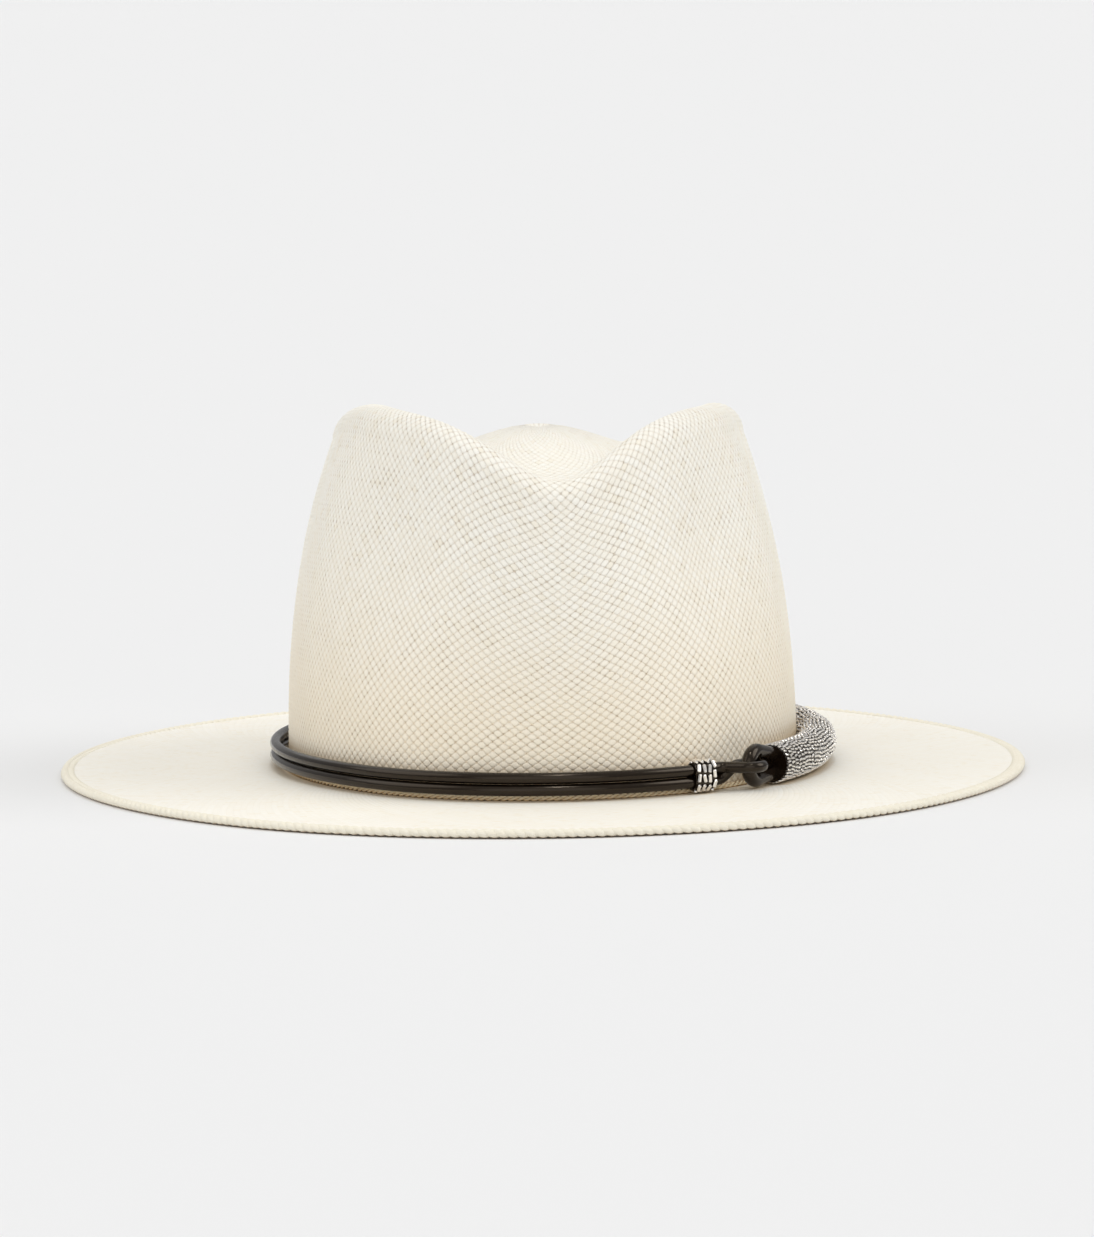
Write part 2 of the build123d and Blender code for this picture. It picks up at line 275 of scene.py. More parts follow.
def island_outside(angle, share):
    """Point on the raised island, from the groove at share 1 to its middle at 0."""
    radius = groove_reach(angle) * share
    floor_height = groove_floor(angle)
    lift = (1 - np.cos(math.pi * np.clip((1 - share) / ISLAND_EASE, 0, 1))) / 2
    height = floor_height + (ISLAND_TOP - floor_height) * lift
    height = height - SEAM_DIVE * np.clip((share - 1) / (TIP_START - 1), 0, 1)
    return np.stack([radius * np.cos(angle), radius * np.sin(angle), BRIM_TOP + height], -1)


def column_angle(column, columns):
    """Direction of a column of the weave: columns crowd at the sides of the head."""
    away = 2 * math.pi * column / columns
    return away + SIDE_CROWDING * np.sin(2 * away) - math.pi / 2


def lift_along(surface, angle, row, amount, step=0.15):
    """Points of a surface moved along its normal, found from points a small step to each side."""
    turn = step / 80
    a = surface(angle + turn, row) - surface(angle - turn, row)
    b = surface(angle, row + step) - surface(angle, row - step)
    normal = np.cross(a, b)
    normal /= np.maximum(np.linalg.norm(normal, axis=-1, keepdims=True), 1e-9)
    return surface(angle, row) + normal * amount[..., None]


def hand_wave(angle, row):
    """Slow unevenness of a hand-blocked hat, in millimetres: waves of three lengths."""
    slow = np.sin(3 * angle + 0.21 * row) + np.sin(7 * angle - 0.13 * row + 1.0)
    return HAND_WAVE * 0.5 * (slow * 0.6 + np.sin(13 * angle + 0.37 * row + 2.0) * 0.4)


class Shell:
    """Vertices, faces and weave coordinates of a woven skin as it grows."""

    def __init__(self, relief=1.0):
        self.points, self.faces, self.weave = [], [], []
        self.count, self.relief = 0, relief

    def ring(self, points):
        """Add points and give their numbers."""
        self.points.append(points)
        self.count += len(points)
        return np.arange(self.count - len(points), self.count)

    def face(self, corners, places):
        """Add one face with its place in the weave at each corner."""
        self.faces.append([int(k) for k in corners])
        self.weave.extend(places)

    def band(self, surface, columns, rows, first, last, below=None, lift=None):
        """A band of diamond cells between two rows; a coarser band shares every second vertex."""
        steps = 2 * rows
        k = np.arange(columns)
        whole = column_angle(k, columns)
        half = column_angle(k + 0.5, columns)
        level = first + (last - first) * np.arange(steps + 1) / steps
        middle = (level[1:] + level[:-1]) / 2
        lines = []
        for b, row in enumerate(level):
            if b == 0 and below is not None:
                lines.append(below[:: len(below) // columns])
                continue
            relief = np.where((k + b) % 2 == 0, PEBBLE, -HOLLOW) * self.relief + hand_wave(whole, row)
            lines.append(self.ring(lift_along(surface, whole, np.full(columns, row), relief)))
        centres = [
            self.ring(lift_along(surface, half, np.full(columns, row), hand_wave(half, row)))
            for row in middle
        ]
        for b in range(steps):
            for a in range(columns):
                n = (a + 1) % columns
                x, y = a / 2, b / 2
                edge = [(x, y), (x + 0.5, y), (x + 0.25, y + 0.25)]
                if b == 0:
                    skipped = []
                    if below is not None and len(below) > columns:
                        stride = len(below) // columns
                        skipped = [below[a * stride + j] for j in range(1, stride)]
                    spread = [(x + 0.5 * j / (len(skipped) + 1), y) for j in range(1, len(skipped) + 1)]
                    self.face([lines[0][a], *skipped, lines[0][n], centres[0][a]],
                              [edge[0], *spread, edge[1], edge[2]])
                else:
                    self.face([lines[b][a], centres[b - 1][a], lines[b][n], centres[b][a]],
                              [edge[0], (x + 0.25, y - 0.25), edge[1], edge[2]])
                self.face([lines[b][a], centres[b][a], lines[b + 1][a], centres[b][a - 1]],
                          [(x, y), (x + 0.25, y + 0.25), (x, y + 0.5), (x - 0.25, y + 0.25)])
                if b == steps - 1:
                    self.face([centres[b][a], lines[b + 1][n], lines[b + 1][a]],
                              [(x + 0.25, y + 0.25), (x + 0.5, y + 0.5), (x, y + 0.5)])
        self.first, self.last = lines[0], lines[-1]
        return lines

    def grid(self, lines, scale):
        """Plain quads between rings of equal count."""
        columns = len(lines[0])
        for b in range(len(lines) - 1):
            for a in range(columns):
                n = (a + 1) % columns
                x, y = a * scale, b * scale
                self.face([lines[b][a], lines[b][n], lines[b + 1][n], lines[b + 1][a]],
                          [(x, y), (x + scale, y), (x + scale, y + scale), (x, y + scale)])

    def bridge(self, fine, coarse):
        """Faces between a ring and one with fewer vertices, all in the middle of one cell."""
        stride = len(fine) // len(coarse)
        for a in range(len(coarse)):
            n = (a + 1) % len(coarse)
            run = [fine[(a * stride + j) % len(fine)] for j in range(stride + 1)]
            self.face([*run, coarse[n], coarse[a]], [(0.0, EDGE_ROW)] * (stride + 3))

    def fan(self, line, point):
        """Close a ring with triangles to one point."""
        top = self.ring(np.array([point]))[0]
        for a in range(len(line)):
            n = (a + 1) % len(line)
            self.face([line[a], line[n], top], [(a / 2, 0), (a / 2 + 0.5, 0), (a / 2 + 0.25, 0.5)])

    def build(self, name):
        """The finished object, closed, with its faces turned outwards."""
        mesh = bpy.data.meshes.new(name)
        mesh.from_pydata((np.concatenate(self.points) * MM).tolist(), [], self.faces)
        layer = mesh.uv_layers.new(name="weave")
        layer.data.foreach_set("uv", np.array(self.weave, dtype=float).ravel())
        made = bpy.data.objects.new(name, mesh)
        bpy.context.collection.objects.link(made)
        select(made)
        bpy.ops.object.mode_set(mode="EDIT")
        bpy.ops.mesh.select_all(action="SELECT")
        bpy.ops.mesh.normals_make_consistent(inside=False)
        bpy.ops.object.mode_set(mode="OBJECT")
        bpy.ops.object.shade_smooth()
        return made


def select(thing):
    """Make one object the only selected and the active one."""
    bpy.ops.object.select_all(action="DESELECT")
    thing.select_set(True)
    bpy.context.view_layer.objects.active = thing


def lining(shell, surface, columns, rows):
    """Coarse rings on the inside of the straw."""
    angle = column_angle(np.arange(columns) * (HALF_COLUMNS / columns), HALF_COLUMNS)
    inside = np.full(columns, -STRAW)
    return [shell.ring(lift_along(surface, angle, np.full(columns, row), inside)) for row in rows]


TOTAL_ROWS = WALL_ROWS + ROLL_ROWS + GROOVE_ROWS
wall = Shell()
wall.band(crown_outside, HALF_COLUMNS, TOTAL_ROWS, 0.0, TOTAL_ROWS)
inner_rows = np.linspace(0.0, TOTAL_ROWS, TOTAL_ROWS // 2 + 1)
inner = lining(wall, crown_outside, HALF_COLUMNS // LINING_STEP, inner_rows)
wall.grid(inner, 2.0)
wall.bridge(wall.first, inner[0])
wall.bridge(wall.last, inner[-1])
crown_wall = wall.build("crown_wall")

tip = Shell(TIP_RELIEF)
below, start, columns = None, TIP_START, HALF_COLUMNS // 2
for end, rows in TIP_BANDS:
    tip.band(island_outside, columns, rows, start, end, below=below)
    if below is None:
        outer_line = tip.first
    below, start, columns = tip.last, end, columns // 2
tip.fan(below, (0, 0, BRIM_TOP + ISLAND_TOP))
under_shares = np.linspace(TIP_START, TIP_UNDER_END, TIP_UNDER_RINGS)
under = lining(tip, island_outside, HALF_COLUMNS // LINING_STEP // 2, under_shares)
tip.grid(under, 2.0)
tip.bridge(outer_line, under[0])
tip.fan(under[-1], (0, 0, BRIM_TOP + ISLAND_TOP - STRAW))
crown_tip = tip.build("crown_tip")

# Toquilla straw, split fine, woven and bleached: a soft waxy cream, each strand a slightly
# different tint, with painted tan shade between strands and painted brown shade in small gaps at
# the cell corners. A strand is about 2 mm wide, and its fibres, really finer, are drawn wide
# enough to show.
STRAW_LIGHT = "#FAF7EE"
STRAW_WARM = "#F4ECDA"
# The next five colours are painted shade: at the strands' edges, in the gaps at the cell corners, in
# nooks, warm near the foot as from light bounced off the brim, and a near-black shadow behind the cords.
STRAW_SHADE = "#D9B988"
STRAW_GAP_SHADE = "#8F6430"
STRAW_NOOK_SHADE = "#DDBE8E"
STRAW_FOOT_SHADE = "#F3E5CC"
STRAW_CREVICE_SHADOW = "#2A1C0E"
OPEN_ROWS_AT = 34.0
OPEN_ROWS_REACH = 8.0
OTHER_STRANDS = 517.0
ARCH_POWER = 3.0
ROUND_POWER = 2.4
PEBBLE_POWER = 0.45
FIBRES = 11.0
FIBRE_DEPTH = 0.12
HOLE_DROP = 0.8
HOLE_LEAST = 0.20
HOLE_SPREAD = 0.75
HOLE_OPEN = 0.22
HOLE_SHARP = 0.35


def woven_straw(name, relief, gap, warm, foot_rows, nook_reach):
    """Plain-weave straw over a piece's weave map, one unit to a cell across and a row up. Over the
    first foot_rows rows it gets a painted warm shade, and its painted shade at the strands' edges
    and in the gaps is darker."""
    made, tree, shader = material(name)
    place = add(tree, "UVMap", uv_map="weave")
    x = add(tree, "SeparateXYZ", place, out=0)
    y = add(tree, "SeparateXYZ", place, out=1)

    # The diagonals p and q count the cells. In every second cell the strand on top runs the other
    # way, so along and across, -0.5 to 0.5 inside a cell, change places.
    p = add(tree, "Math", x, y, operation="ADD")
    q = add(tree, "Math", x, y, operation="SUBTRACT")
    ip = add(tree, "Math", p, operation="ROUND")
    iq = add(tree, "Math", q, operation="ROUND")
    fp = add(tree, "Math", p, ip, operation="SUBTRACT")
    fq = add(tree, "Math", q, iq, operation="SUBTRACT")
    both = add(tree, "Math", ip, iq, operation="ADD")
    odd = add(tree, "Math", both, 2.0, operation="FLOORED_MODULO")
    along = add(tree, "Mix", odd, S2=fp, S3=fq, data_type="FLOAT")
    across = add(tree, "Mix", odd, S2=fq, S3=fp, data_type="FLOAT")
    other = add(tree, "Math", ip, OTHER_STRANDS, operation="ADD")
    strand = add(tree, "Mix", odd, S2=iq, S3=other, data_type="FLOAT")

    # Each strand arches over its cell and is round across, so the straw is lowest at the corners.
    arches, falls = [], []
    for run, power in ((along, ARCH_POWER), (across, ROUND_POWER)):
        turn = add(tree, "Math", run, math.pi, operation="MULTIPLY")
        wave = add(tree, "Math", turn, operation="COSINE")
        arches.append(add(tree, "Math", wave, 0.0, operation="MAXIMUM"))
        reach = add(tree, "Math", run, operation="ABSOLUTE")
        reach = add(tree, "Math", reach, 2.0, operation="MULTIPLY")
        falls.append(add(tree, "Math", reach, power, operation="POWER"))
    corner = add(tree, "Math", *arches, operation="ADD")
    fall = add(tree, "Math", *falls, operation="ADD")
    top = add(tree, "Math", 1.0, fall, operation="SUBTRACT")
    top = add(tree, "Math", top, 0.0, operation="MAXIMUM")
    pebble = add(tree, "Math", top, PEBBLE_POWER, operation="POWER")

    # Gaps at the corners, a few of them large, and more open in two or three rows under the rim.
    cell = add(tree, "CombineXYZ", ip, iq)
    chance = add(tree, "TexWhiteNoise", Vector=cell, noise_dimensions="2D")
    seldom = add(tree, "Math", chance, 3.0, operation="POWER")
    hole_size = add(tree, "Math", seldom, HOLE_SPREAD * gap, HOLE_LEAST * gap, operation="MULTIPLY_ADD")
    from_open = add(tree, "Math", y, OPEN_ROWS_AT, operation="SUBTRACT")
    from_open = add(tree, "Math", from_open, operation="ABSOLUTE")
    near_rim = add(tree, "Math", from_open, OPEN_ROWS_REACH, operation="LESS_THAN")
    half_rows = add(tree, "Math", y, 2.0, operation="MULTIPLY")
    half_rows = add(tree, "Math", half_rows, operation="ROUND")
    third = add(tree, "Math", half_rows, 3.0, operation="FLOORED_MODULO")
    open_row = add(tree, "Math", third, 0.5, operation="LESS_THAN")
    open_here = add(tree, "Math", near_rim, open_row, operation="MULTIPLY")
    hole_size = add(tree, "Math", open_here, HOLE_OPEN * gap, hole_size, operation="MULTIPLY_ADD")
    hole_start = add(tree, "Math", hole_size, HOLE_SHARP, operation="MULTIPLY")
    hole = add(tree, "MapRange", corner, hole_start, hole_size, 1.0, 0.0, interpolation_type="SMOOTHSTEP")

    # Tints: each strand its own, a few odd cells and slow patches warmer; painted warm shade near the
    # foot, as from light bounced off the brim; painted tan shade at the strands' edges and in nooks;
    # painted brown shade in the gaps; and a painted near-black shadow where occlusion is deepest, such
    # as behind the cords.
    low = add(tree, "MapRange", y, 0.0, foot_rows, 1.0, 0.0, interpolation_type="SMOOTHSTEP")
    hue = add(tree, "TexWhiteNoise", W=strand, noise_dimensions="1D")
    patch = add(tree, "TexNoise", Vector=place, Scale=0.09, Detail=3.0)
    own_share = add(tree, "Math", hue, warm, operation="MULTIPLY")
    # Painted warm shade near the foot, as from light bounced off the brim.
    foot_shade_share = add(tree, "Math", low, 0.65, operation="MULTIPLY")
    odd_cell = add(tree, "Math", chance, 0.95, operation="GREATER_THAN")
    odd_share = add(tree, "Math", odd_cell, 0.5, operation="MULTIPLY")
    # Painted tan shade at the strands' edges, darker near the foot.
    edge = add(tree, "Math", 1.0, pebble, operation="SUBTRACT")
    edge = add(tree, "Math", edge, 2.0, operation="POWER")
    edge_shade_strength = add(tree, "Math", low, 0.16 * gap, 0.18 * gap, operation="MULTIPLY_ADD")
    edge_shade_share = add(tree, "Math", edge, edge_shade_strength, operation="MULTIPLY")
    patch_share = add(tree, "Math", patch, 0.35 * warm, operation="MULTIPLY")
    # Painted brown shade in the gaps, darker near the foot.
    gap_shade_strength = add(tree, "Math", low, 0.08, 0.34, operation="MULTIPLY_ADD")
    gap_shade_share = add(tree, "Math", hole, gap_shade_strength, operation="MULTIPLY")
    # Painted tan shade in nooks, from ambient occlusion.
    nook = add(tree, "AmbientOcclusion", Distance=nook_reach * MM, samples=8, out="AO")
    nook_shade_share = add(tree, "MapRange", nook, 0.05, 0.75, 0.85, 0.0)
    # Painted near-black shadow where ambient occlusion is deepest, such as behind the cords.
    crevice_shadow_share = add(tree, "MapRange", nook, 0.0, 0.12, 0.9, 0.0)
    tints = [
        (STRAW_WARM, own_share),
        (STRAW_FOOT_SHADE, foot_shade_share),
        (STRAW_WARM, odd_share),
        (STRAW_SHADE, edge_shade_share),
        (STRAW_WARM, patch_share),
        (STRAW_GAP_SHADE, gap_shade_share),
        (STRAW_NOOK_SHADE, nook_shade_share),
        (STRAW_CREVICE_SHADOW, crevice_shadow_share),
    ]
    straw = linear(STRAW_LIGHT)
    for code, share in tints:
        straw = add(tree, "Mix", share, S6=straw, S7=linear(code), data_type="RGBA", out=2)
    tree.links.new(straw, shader.inputs["Base Color"])

    # Relief: the pebbles, fine fibres along each strand, and the gaps.
    fibre_along = add(tree, "Math", along, 1.6, operation="MULTIPLY")
    fibre_across = add(tree, "Math", across, FIBRES, operation="MULTIPLY")
    fibre_own = add(tree, "Math", strand, 3.7, operation="MULTIPLY")
    fibre_place = add(tree, "CombineXYZ", fibre_along, fibre_across, fibre_own)
    fibre = add(tree, "TexNoise", Vector=fibre_place, Scale=1.0, Detail=2.0)
    fibre = add(tree, "Math", fibre, FIBRE_DEPTH, operation="MULTIPLY")
    height = add(tree, "Math", pebble, fibre, operation="ADD")
    hole_drop = add(tree, "Math", hole, HOLE_DROP, operation="MULTIPLY")
    height = add(tree, "Math", height, hole_drop, operation="SUBTRACT")
    bump = add(tree, "Bump", Strength=relief, Distance=0.5 * MM, Height=height)
    tree.links.new(bump, shader.inputs["Normal"])
    shader.inputs["Roughness"].default_value = 0.55
    shader.inputs["Specular IOR Level"].default_value = 0.4
    return made


crown_straw = woven_straw(
    "toquilla_straw_crown", relief=0.7, gap=1.0, warm=0.4, foot_rows=30.0, nook_reach=8.0
)
tip_straw = woven_straw(
    "toquilla_straw_tip", relief=0.6, gap=0.7, warm=0.35, foot_rows=0.01, nook_reach=3.0
)
paint(crown_wall, crown_straw)
paint(crown_tip, tip_straw)
for piece in (crown_wall, crown_tip):
    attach(piece, "hat")

# Brim: the same weave carried on flat, finer and tighter, pressed hard and bleached brighter.
BRIM_WIDTH = 77.0
BRIM_COLUMNS = 320
BRIM_RINGS = 40
BRIM_CELLS = 300
BRIM_FROM = -1.6
BRIM_EDGE = 2.0
BRIM_WAVES = 5
BRIM_WAVE = 0.12
BRIM_WAVE_FROM = 30.0


def brim_surface(grow, height, columns=BRIM_COLUMNS):
    """Ring of points at an offset from the head oval."""
    angle = column_angle(np.arange(columns), columns)
    radius = oval_radius(angle, grow)
    wave = BRIM_WAVE * np.sin(BRIM_WAVES * angle + 0.8)
    tall = BRIM_TOP + height + wave * min(max(grow, 0) / BRIM_WAVE_FROM, 1)
    return np.stack([radius * np.cos(angle), radius * np.sin(angle), tall], -1)


brim = Shell()
grows = BRIM_FROM + (BRIM_WIDTH - BRIM_EDGE - BRIM_FROM) * np.linspace(0, 1, BRIM_RINGS + 1)
tops = [brim.ring(brim_surface(grow, 0.0)) for grow in grows]
unders = [brim.ring(brim_surface(grow, -STRAW)) for grow in grows[::-1]]
loop_rings = tops + unders + [tops[0]]
mean = (HALF_WIDTH + HALF_LENGTH) / 2
spiral = [BRIM_CELLS / (2 * math.pi) * math.log((mean + grow) / mean) for grow in grows]
rows_up = spiral + spiral[::-1] + [spiral[0]]
for k in range(len(loop_rings) - 1):
    for a in range(BRIM_COLUMNS):
        n = (a + 1) % BRIM_COLUMNS
        x0, x1 = a * BRIM_CELLS / BRIM_COLUMNS, (a + 1) * BRIM_CELLS / BRIM_COLUMNS
        y0, y1 = rows_up[k], rows_up[k + 1]
        brim.face([loop_rings[k][a], loop_rings[k][n], loop_rings[k + 1][n], loop_rings[k + 1][a]],
                  [(x0, y0), (x1, y0), (x1, y1), (x0, y1)])
brim_plate = brim.build("brim_plate")
brim_straw = woven_straw(
    "toquilla_straw_brim", relief=0.22, gap=0.25, warm=0.35, foot_rows=6.0, nook_reach=4.0
)
paint(brim_plate, brim_straw)
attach(brim_plate, "hat")
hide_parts("straw_body")

# Edge of the brim: the loose strand ends are braided back on themselves in a flat three-strand
# braid, then pressed. Its strands stand out as small scallops along the edge.
EDGE_WAVES = 114
EDGE_STEPS = 12
EDGE_CENTRE = 74.45
EDGE_SWING = 1.25
EDGE_LIFT = 0.30
EDGE_HIGH = 1.62
EDGE_HALF_WIDE = 1.3
EDGE_HALF_TALL = 1.1


def oval_walk(count, grow):
    """Directions of evenly spaced points round the head oval, grown by an offset."""
    fine = np.linspace(0, 2 * math.pi, 7200, endpoint=False)
    radius = oval_radius(fine, grow)
    line = np.stack([radius * np.cos(fine), radius * np.sin(fine)], -1)
    steps = np.linalg.norm(np.roll(line, -1, 0) - line, axis=1)
    run = np.concatenate([[0], np.cumsum(steps)])
    return np.interp(np.arange(count) / count * run[-1], run, np.append(fine, 2 * math.pi))


def flat_tubes(name, lines, half_wide, half_tall, sides, round_count):
    """One object of closed tubes with an oval section, upright to the floor, along closed lines."""
    points, faces, places = [], [], []
    for line in lines:
        along = np.roll(line, -1, 0) - np.roll(line, 1, 0)
        along /= np.linalg.norm(along, axis=1, keepdims=True)
        side = np.cross(along, [0.0, 0.0, 1.0])
        side /= np.linalg.norm(side, axis=1, keepdims=True)
        upright = np.cross(side, along)
        turn = 2 * math.pi * np.arange(sides) / sides
        skin = (line[:, None] + half_wide * np.cos(turn)[None, :, None] * side[:, None]
                + half_tall * np.sin(turn)[None, :, None] * upright[:, None])
        base, count = sum(len(p) for p in points), len(line)
        points.append(skin.reshape(-1, 3))
        for k in range(count):
            for j in range(sides):
                n, m = (k + 1) % count, (j + 1) % sides
                here, there = base + k * sides, base + n * sides
                faces.append([here + j, here + m, there + m, there + j])
                u0, u1 = k * round_count / count, (k + 1) * round_count / count
                v0, v1 = j / sides, (j + 1) / sides
                places.extend([(u0, v0), (u0, v1), (u1, v1), (u1, v0)])
    shell = Shell()
    shell.points, shell.faces, shell.weave = points, faces, places
    return shell.build(name)


angle = oval_walk(EDGE_WAVES * EDGE_STEPS, EDGE_CENTRE)
phase = np.arange(len(angle)) / EDGE_STEPS * 2 * math.pi
braid = []
for strand in range(3):
    turned = phase + strand * 2 * math.pi / 3
    radius = oval_radius(angle, EDGE_CENTRE) + EDGE_SWING * np.sin(turned)
    height = EDGE_HIGH + EDGE_LIFT * np.sin(2 * turned)
    braid.append(np.stack([radius * np.cos(angle), radius * np.sin(angle), height], -1))
edge_braid = flat_tubes("edge_braid", braid, EDGE_HALF_WIDE, EDGE_HALF_TALL, 8, EDGE_WAVES * 3)


def strand_straw(name, light, shade, hollow_shade, fibres):
    """Single straw strands or threads: fibres along them, fibres to a turn round them, and painted
    shade in the hollows from ambient occlusion, which keeps neighbours apart to the eye."""
    made, tree, shader = material(name)
    place = add(tree, "UVMap", uv_map="weave")
    stretch = add(tree, "Mapping", Vector=place, Scale=(1.2, fibres, 1.0))
    fibre = add(tree, "TexNoise", Vector=stretch, Scale=1.0, Detail=3.0)
    straw = add(tree, "Mix", fibre, S6=linear(light), S7=linear(shade), data_type="RGBA", out=2)
    # Painted shade in the hollows: a darker colour where ambient occlusion finds other strands near.
    hollow = add(tree, "AmbientOcclusion", Distance=1.0 * MM, out="AO")
    nook = add(tree, "MapRange", hollow, 0.1, 0.7, 0.8, 0.0)
    straw = add(tree, "Mix", nook, S6=straw, S7=linear(hollow_shade), data_type="RGBA", out=2)
    tree.links.new(straw, shader.inputs["Base Color"])
    bump = add(tree, "Bump", Strength=0.35, Distance=0.2 * MM, Height=fibre)
    tree.links.new(bump, shader.inputs["Normal"])
    shader.inputs["Roughness"].default_value = 0.55
    return made


edge_straw = strand_straw("toquilla_straw_edge", "#F4F0E2", "#EBE2CC", hollow_shade="#CDA67E", fibres=7.0)
paint(edge_braid, edge_straw)
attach(edge_braid, "hat")
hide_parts("brim_edge_braid")

# Row at the foot of the crown: two straw strands twisted like rope, where the weave turns from
# the crown into the brim. It lies in shadow under the hatband.
ROPE_TURNS = 120
ROPE_STEPS = 10
ROPE_OUT = 0.95
ROPE_HIGH = 0.8
ROPE_TWIST = 0.44
ROPE_STRAND = 0.42

angle = oval_walk(ROPE_TURNS * ROPE_STEPS, ROPE_OUT)
phase = np.arange(len(angle)) / ROPE_STEPS * 2 * math.pi
rope = []
for strand in range(2):
    turned = phase + strand * math.pi
    radius = oval_radius(angle, ROPE_OUT) + ROPE_TWIST * np.cos(turned)
    height = BRIM_TOP + ROPE_HIGH + ROPE_TWIST * np.sin(turned)
    rope.append(np.stack([radius * np.cos(angle), radius * np.sin(angle), height], -1))
foot_rope = flat_tubes("foot_rope", rope, ROPE_STRAND, ROPE_STRAND, 8, ROPE_TURNS * 4)
foot_straw = strand_straw("toquilla_straw_foot", "#FFF3D8", "#F0D6A4", hollow_shade="#D8AA68", fibres=7.0)
paint(foot_rope, foot_straw)
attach(foot_rope, "hat")
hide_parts("crown_base_braid")

# Sweatband: a strip of brown vegetable-tanned leather, sewn with linen thread to the crown through
# a reed, a thin rod wrapped in cloth. The leather is dull and even, with slow patches of tone.


def grained_leather(name, light, dark, grain, relief, rough, gloss):
    """Smooth leather: pores a grain apart in millimetres, creases four times as wide, which give a
    broken gloss, and patches of tone 17 mm wide."""
    made, tree, shader = material(name)
    place = add(tree, "TexCoord", out="Object")
    pores = add(tree, "TexVoronoi", Vector=place, Scale=1 / (grain * MM))
    creases = add(tree, "TexNoise", Vector=place, Scale=0.25 / (grain * MM), Detail=5.0)
    patches = add(tree, "TexNoise", Vector=place, Scale=60.0, Detail=2.0)
    tone = add(tree, "Mix", patches, S6=linear(dark), S7=linear(light), data_type="RGBA", out=2)
    tree.links.new(tone, shader.inputs["Base Color"])
    worn = add(tree, "MapRange", creases, 0.3, 0.7, rough - 0.08, rough + 0.1)
    tree.links.new(worn, shader.inputs["Roughness"])
    skin = add(tree, "Math", creases, 1.6, pores, operation="MULTIPLY_ADD")
    bump = add(tree, "Bump", Strength=relief, Distance=0.12 * MM, Height=skin)
    tree.links.new(bump, shader.inputs["Normal"])
    shader.inputs["Specular IOR Level"].default_value = gloss
    shader.inputs["Specular Tint"].default_value = linear("#FFEBD2")
    return made


tan_leather = grained_leather(
    "vegetable_tanned_leather", "#8A5A34", "#6B4124", grain=0.7, relief=0.3, rough=0.5, gloss=0.4
)
reed_cloth = strand_straw("reed_cloth", "#D8CBB0", "#B9A780", hollow_shade="#8E7A55", fibres=20.0)
linen_thread = strand_straw("linen_thread", "#EFE7D2", "#D5C7A4", hollow_shade="#8E7A55", fibres=20.0)
paint(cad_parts["sweatband"], tan_leather)
paint(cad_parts["sweatband_reed"], reed_cloth)
paint(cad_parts["sweatband_stitches"], linen_thread)

# Hatband: a round black leather cord, doubled, its two bights linked through leather loops at the
# ends of a bead-covered tube. All the leather is smooth, dyed through and waxed: nearly black, a
# little brown, with a soft line of gloss along each cord.
black_leather = grained_leather(
    "waxed_black_leather", "#170F09", "#0A0604", grain=0.45, relief=0.05, rough=0.15, gloss=0.42
)
for node in ("band_cord", "bead_tube_core", "front_loop", "rear_loop"):
    paint(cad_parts[node], black_leather)
for node in ("front_slider_sleeve", "rear_slider_sleeve"):
    paint(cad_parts[node], black_leather)

# Beads on the tube: short bars of silver-plated brass lying along the tube, sewn in close rings,
# each a little askew. The plate is bright on its ridges, and painted shade turns it nearly black
# in the gaps, standing in for the shade and dark reflections there.
TUBE_OUT = 6.95
TUBE_MIDDLE = BRIM_TOP + TUBE_OUT
TUBE_EASE = 12.0
TUBE_END = 33.5
BEAD_RINGS = 60
BEADS_ROUND = 31
BEAD_RADIUS = 0.45
BEAD_LONG = 2.05
BEAD_SEAT = 6.3
BEAD_CROWD = 0.12
BEAD_SKEW = 0.12
BEAD_TILT = 0.08
BEAD_SLIP = 0.12
BEAD_EDGE = 0.2
UPWARD = np.array([0, 0, 1.0])

bpy.ops.object.select_all(action="DESELECT")
bpy.ops.mesh.primitive_cylinder_add(vertices=6, radius=BEAD_RADIUS, depth=BEAD_LONG)
bead = bpy.context.active_object
bpy.ops.object.mode_set(mode="EDIT")
bpy.ops.mesh.select_all(action="SELECT")
bpy.ops.mesh.bevel(offset=BEAD_EDGE, segments=1)
bpy.ops.object.mode_set(mode="OBJECT")
bead_points = np.array([v.co[:] for v in bead.data.vertices])
bead_faces = [list(f.vertices) for f in bead.data.polygons]
bpy.data.objects.remove(bead)


def strew(name, places, scale=(1, 1, 1)):
    """One object of many copies of the bead. Each place is its centre and its three directions."""
    points = [centre + (bead_points * scale) @ axes for centre, axes in places]
    faces = [[k + i * len(bead_points) for k in f] for i in range(len(places)) for f in bead_faces]
    mesh = bpy.data.meshes.new(name)
    mesh.from_pydata((np.concatenate(points) * MM).tolist(), [], faces)
    made = bpy.data.objects.new(name, mesh)
    bpy.context.collection.objects.link(made)
    return made


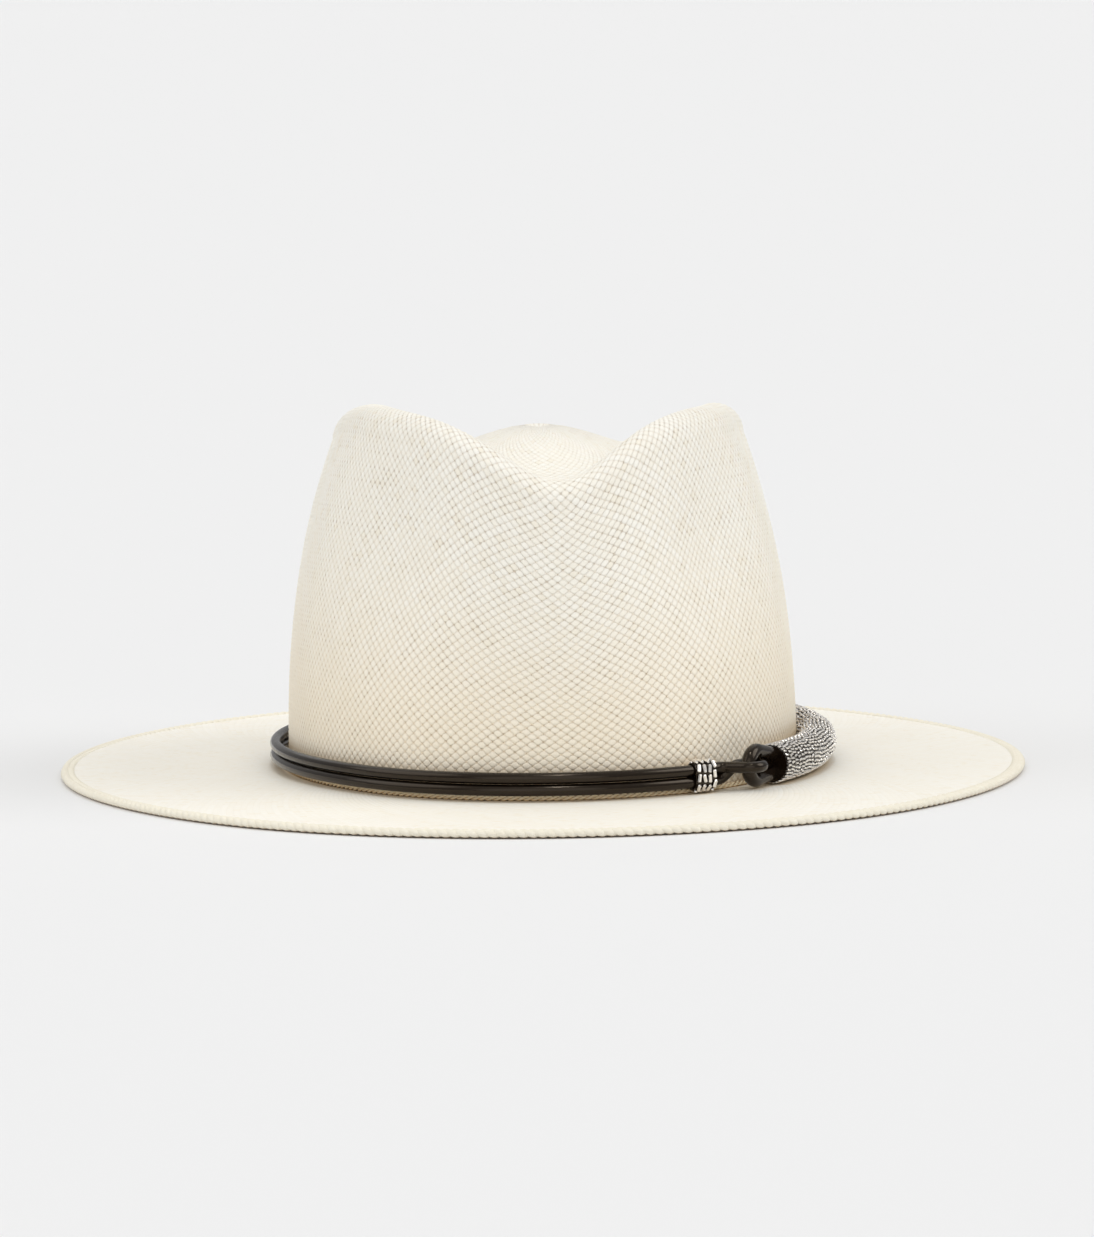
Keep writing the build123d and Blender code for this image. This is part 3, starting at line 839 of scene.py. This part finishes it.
chance = np.random.default_rng(7)
bead_places = []
for ring in range(BEAD_RINGS):
    turn = math.radians(2 * TUBE_END * ((ring + 0.5) / BEAD_RINGS - 0.5))
    out = np.array([math.cos(turn), math.sin(turn), 0.0])
    along = np.array([-math.sin(turn), math.cos(turn), 0.0])
    middle = np.array([-SIDE_CENTRE - TUBE_EASE, 0, TUBE_MIDDLE])
    middle = middle + out * (SIDE_RADIUS + TUBE_OUT + TUBE_EASE)
    start = chance.uniform(0, 1)
    for k in range(BEADS_ROUND):
        round_turn = 2 * math.pi * (k + start + chance.uniform(-BEAD_CROWD, BEAD_CROWD)) / BEADS_ROUND
        spoke = out * math.cos(round_turn) + UPWARD * math.sin(round_turn)
        across = np.cross(along, spoke)
        skew = chance.normal(0, BEAD_SKEW)
        lie = along * math.cos(skew) + across * math.sin(skew) + spoke * chance.normal(0, BEAD_TILT)
        lie /= np.linalg.norm(lie)
        wide = np.cross(spoke, lie)
        wide /= np.linalg.norm(wide)
        seat = middle + spoke * (BEAD_SEAT + chance.uniform(-0.08, 0.05))
        seat = seat + along * chance.uniform(-BEAD_SLIP, BEAD_SLIP)
        bead_places.append((seat, np.array([wide, np.cross(lie, wide), lie])))
tube_bars = strew("tube_bars", bead_places)

silver, tree, shader = material("silver_plate")
place = add(tree, "TexCoord", out="Object")
# The tarnish lies in patches of about a millimetre.
tarnish = add(tree, "TexNoise", Vector=place, Scale=900.0, Detail=2.0)
tone = add(tree, "Mix", tarnish, S6=linear("#FFFDFA"), S7=linear("#D8D1C8"), data_type="RGBA", out=2)
# Painted shade: the plate goes nearly black where ambient occlusion finds neighbouring bars close.
nook = add(tree, "AmbientOcclusion", Distance=0.7 * MM, out="AO")
hollow_shade = add(tree, "MapRange", nook, 0.20, 0.58, 0.95, 0.0)
tone = add(tree, "Mix", hollow_shade, S6=tone, S7=linear("#0A0806"), data_type="RGBA", out=2)
tree.links.new(tone, shader.inputs["Base Color"])
shader.inputs["Metallic"].default_value = 0.9
shader.inputs["Roughness"].default_value = 0.18
paint(tube_bars, silver)
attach(tube_bars, "hatband")
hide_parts("bead_tube_beads")

# Beads on the sliders: longer bars of the same plate, lying round the sleeve in four rows.
SLIDER_ARC = 80.4
SLIDER_TURN = 34.0
SLIDER_HIGH = 8.35
SLIDER_HALF_TALL = 1.95
SLIDER_SEAT = 2.95
SLIDER_ROWS = 4
SLIDER_PITCH = 2.1
SLIDER_BEADS = 8
SLIDER_SKEW = 0.13
SLIDER_BEAD_SCALE = (1.61, 1.5, 1.32)


def slider_places(towards):
    """Places of the beads of one slider, at the front (-1) or the rear (1)."""
    places = []
    lap = 4 * SLIDER_HALF_TALL + 2 * math.pi * SLIDER_SEAT
    bend = math.pi * SLIDER_SEAT
    for row in range(SLIDER_ROWS):
        turn = math.radians(SLIDER_TURN) + (row - (SLIDER_ROWS - 1) / 2) * SLIDER_PITCH / SLIDER_ARC
        out = np.array([math.sin(turn), towards * math.cos(turn), 0.0])
        along = np.array([math.cos(turn), -towards * math.sin(turn), 0.0])
        middle = np.array([0, towards * rise, SLIDER_HIGH]) + out * SLIDER_ARC
        start = chance.uniform(-0.3, 0.3)
        for k in range(SLIDER_BEADS):
            run = (k + start) / SLIDER_BEADS * lap
            if run < SLIDER_HALF_TALL or run >= lap - SLIDER_HALF_TALL:
                spoke, foot = out, (run + SLIDER_HALF_TALL) % lap - SLIDER_HALF_TALL
            elif run < SLIDER_HALF_TALL + bend:
                turned = (run - SLIDER_HALF_TALL) / SLIDER_SEAT
                spoke, foot = out * math.cos(turned) + UPWARD * math.sin(turned), SLIDER_HALF_TALL
            elif run < 3 * SLIDER_HALF_TALL + bend:
                spoke, foot = -out, 2 * SLIDER_HALF_TALL + bend - run
            else:
                turned = math.pi + (run - 3 * SLIDER_HALF_TALL - bend) / SLIDER_SEAT
                spoke, foot = out * math.cos(turned) + UPWARD * math.sin(turned), -SLIDER_HALF_TALL
            lie = np.cross(spoke, along) + along * chance.normal(0, SLIDER_SKEW)
            lie /= np.linalg.norm(lie)
            wide = np.cross(spoke, lie)
            wide /= np.linalg.norm(wide)
            seat = middle + UPWARD * foot + spoke * (SLIDER_SEAT + chance.uniform(-0.08, 0.12))
            places.append((seat, np.array([wide, np.cross(lie, wide), lie])))
    return places


for name, towards in (("front_slider", -1), ("rear_slider", 1)):
    bars = strew(name + "_bars", slider_places(towards), SLIDER_BEAD_SCALE)
    paint(bars, silver)
    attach(bars, name)
    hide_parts(name + "_beads")
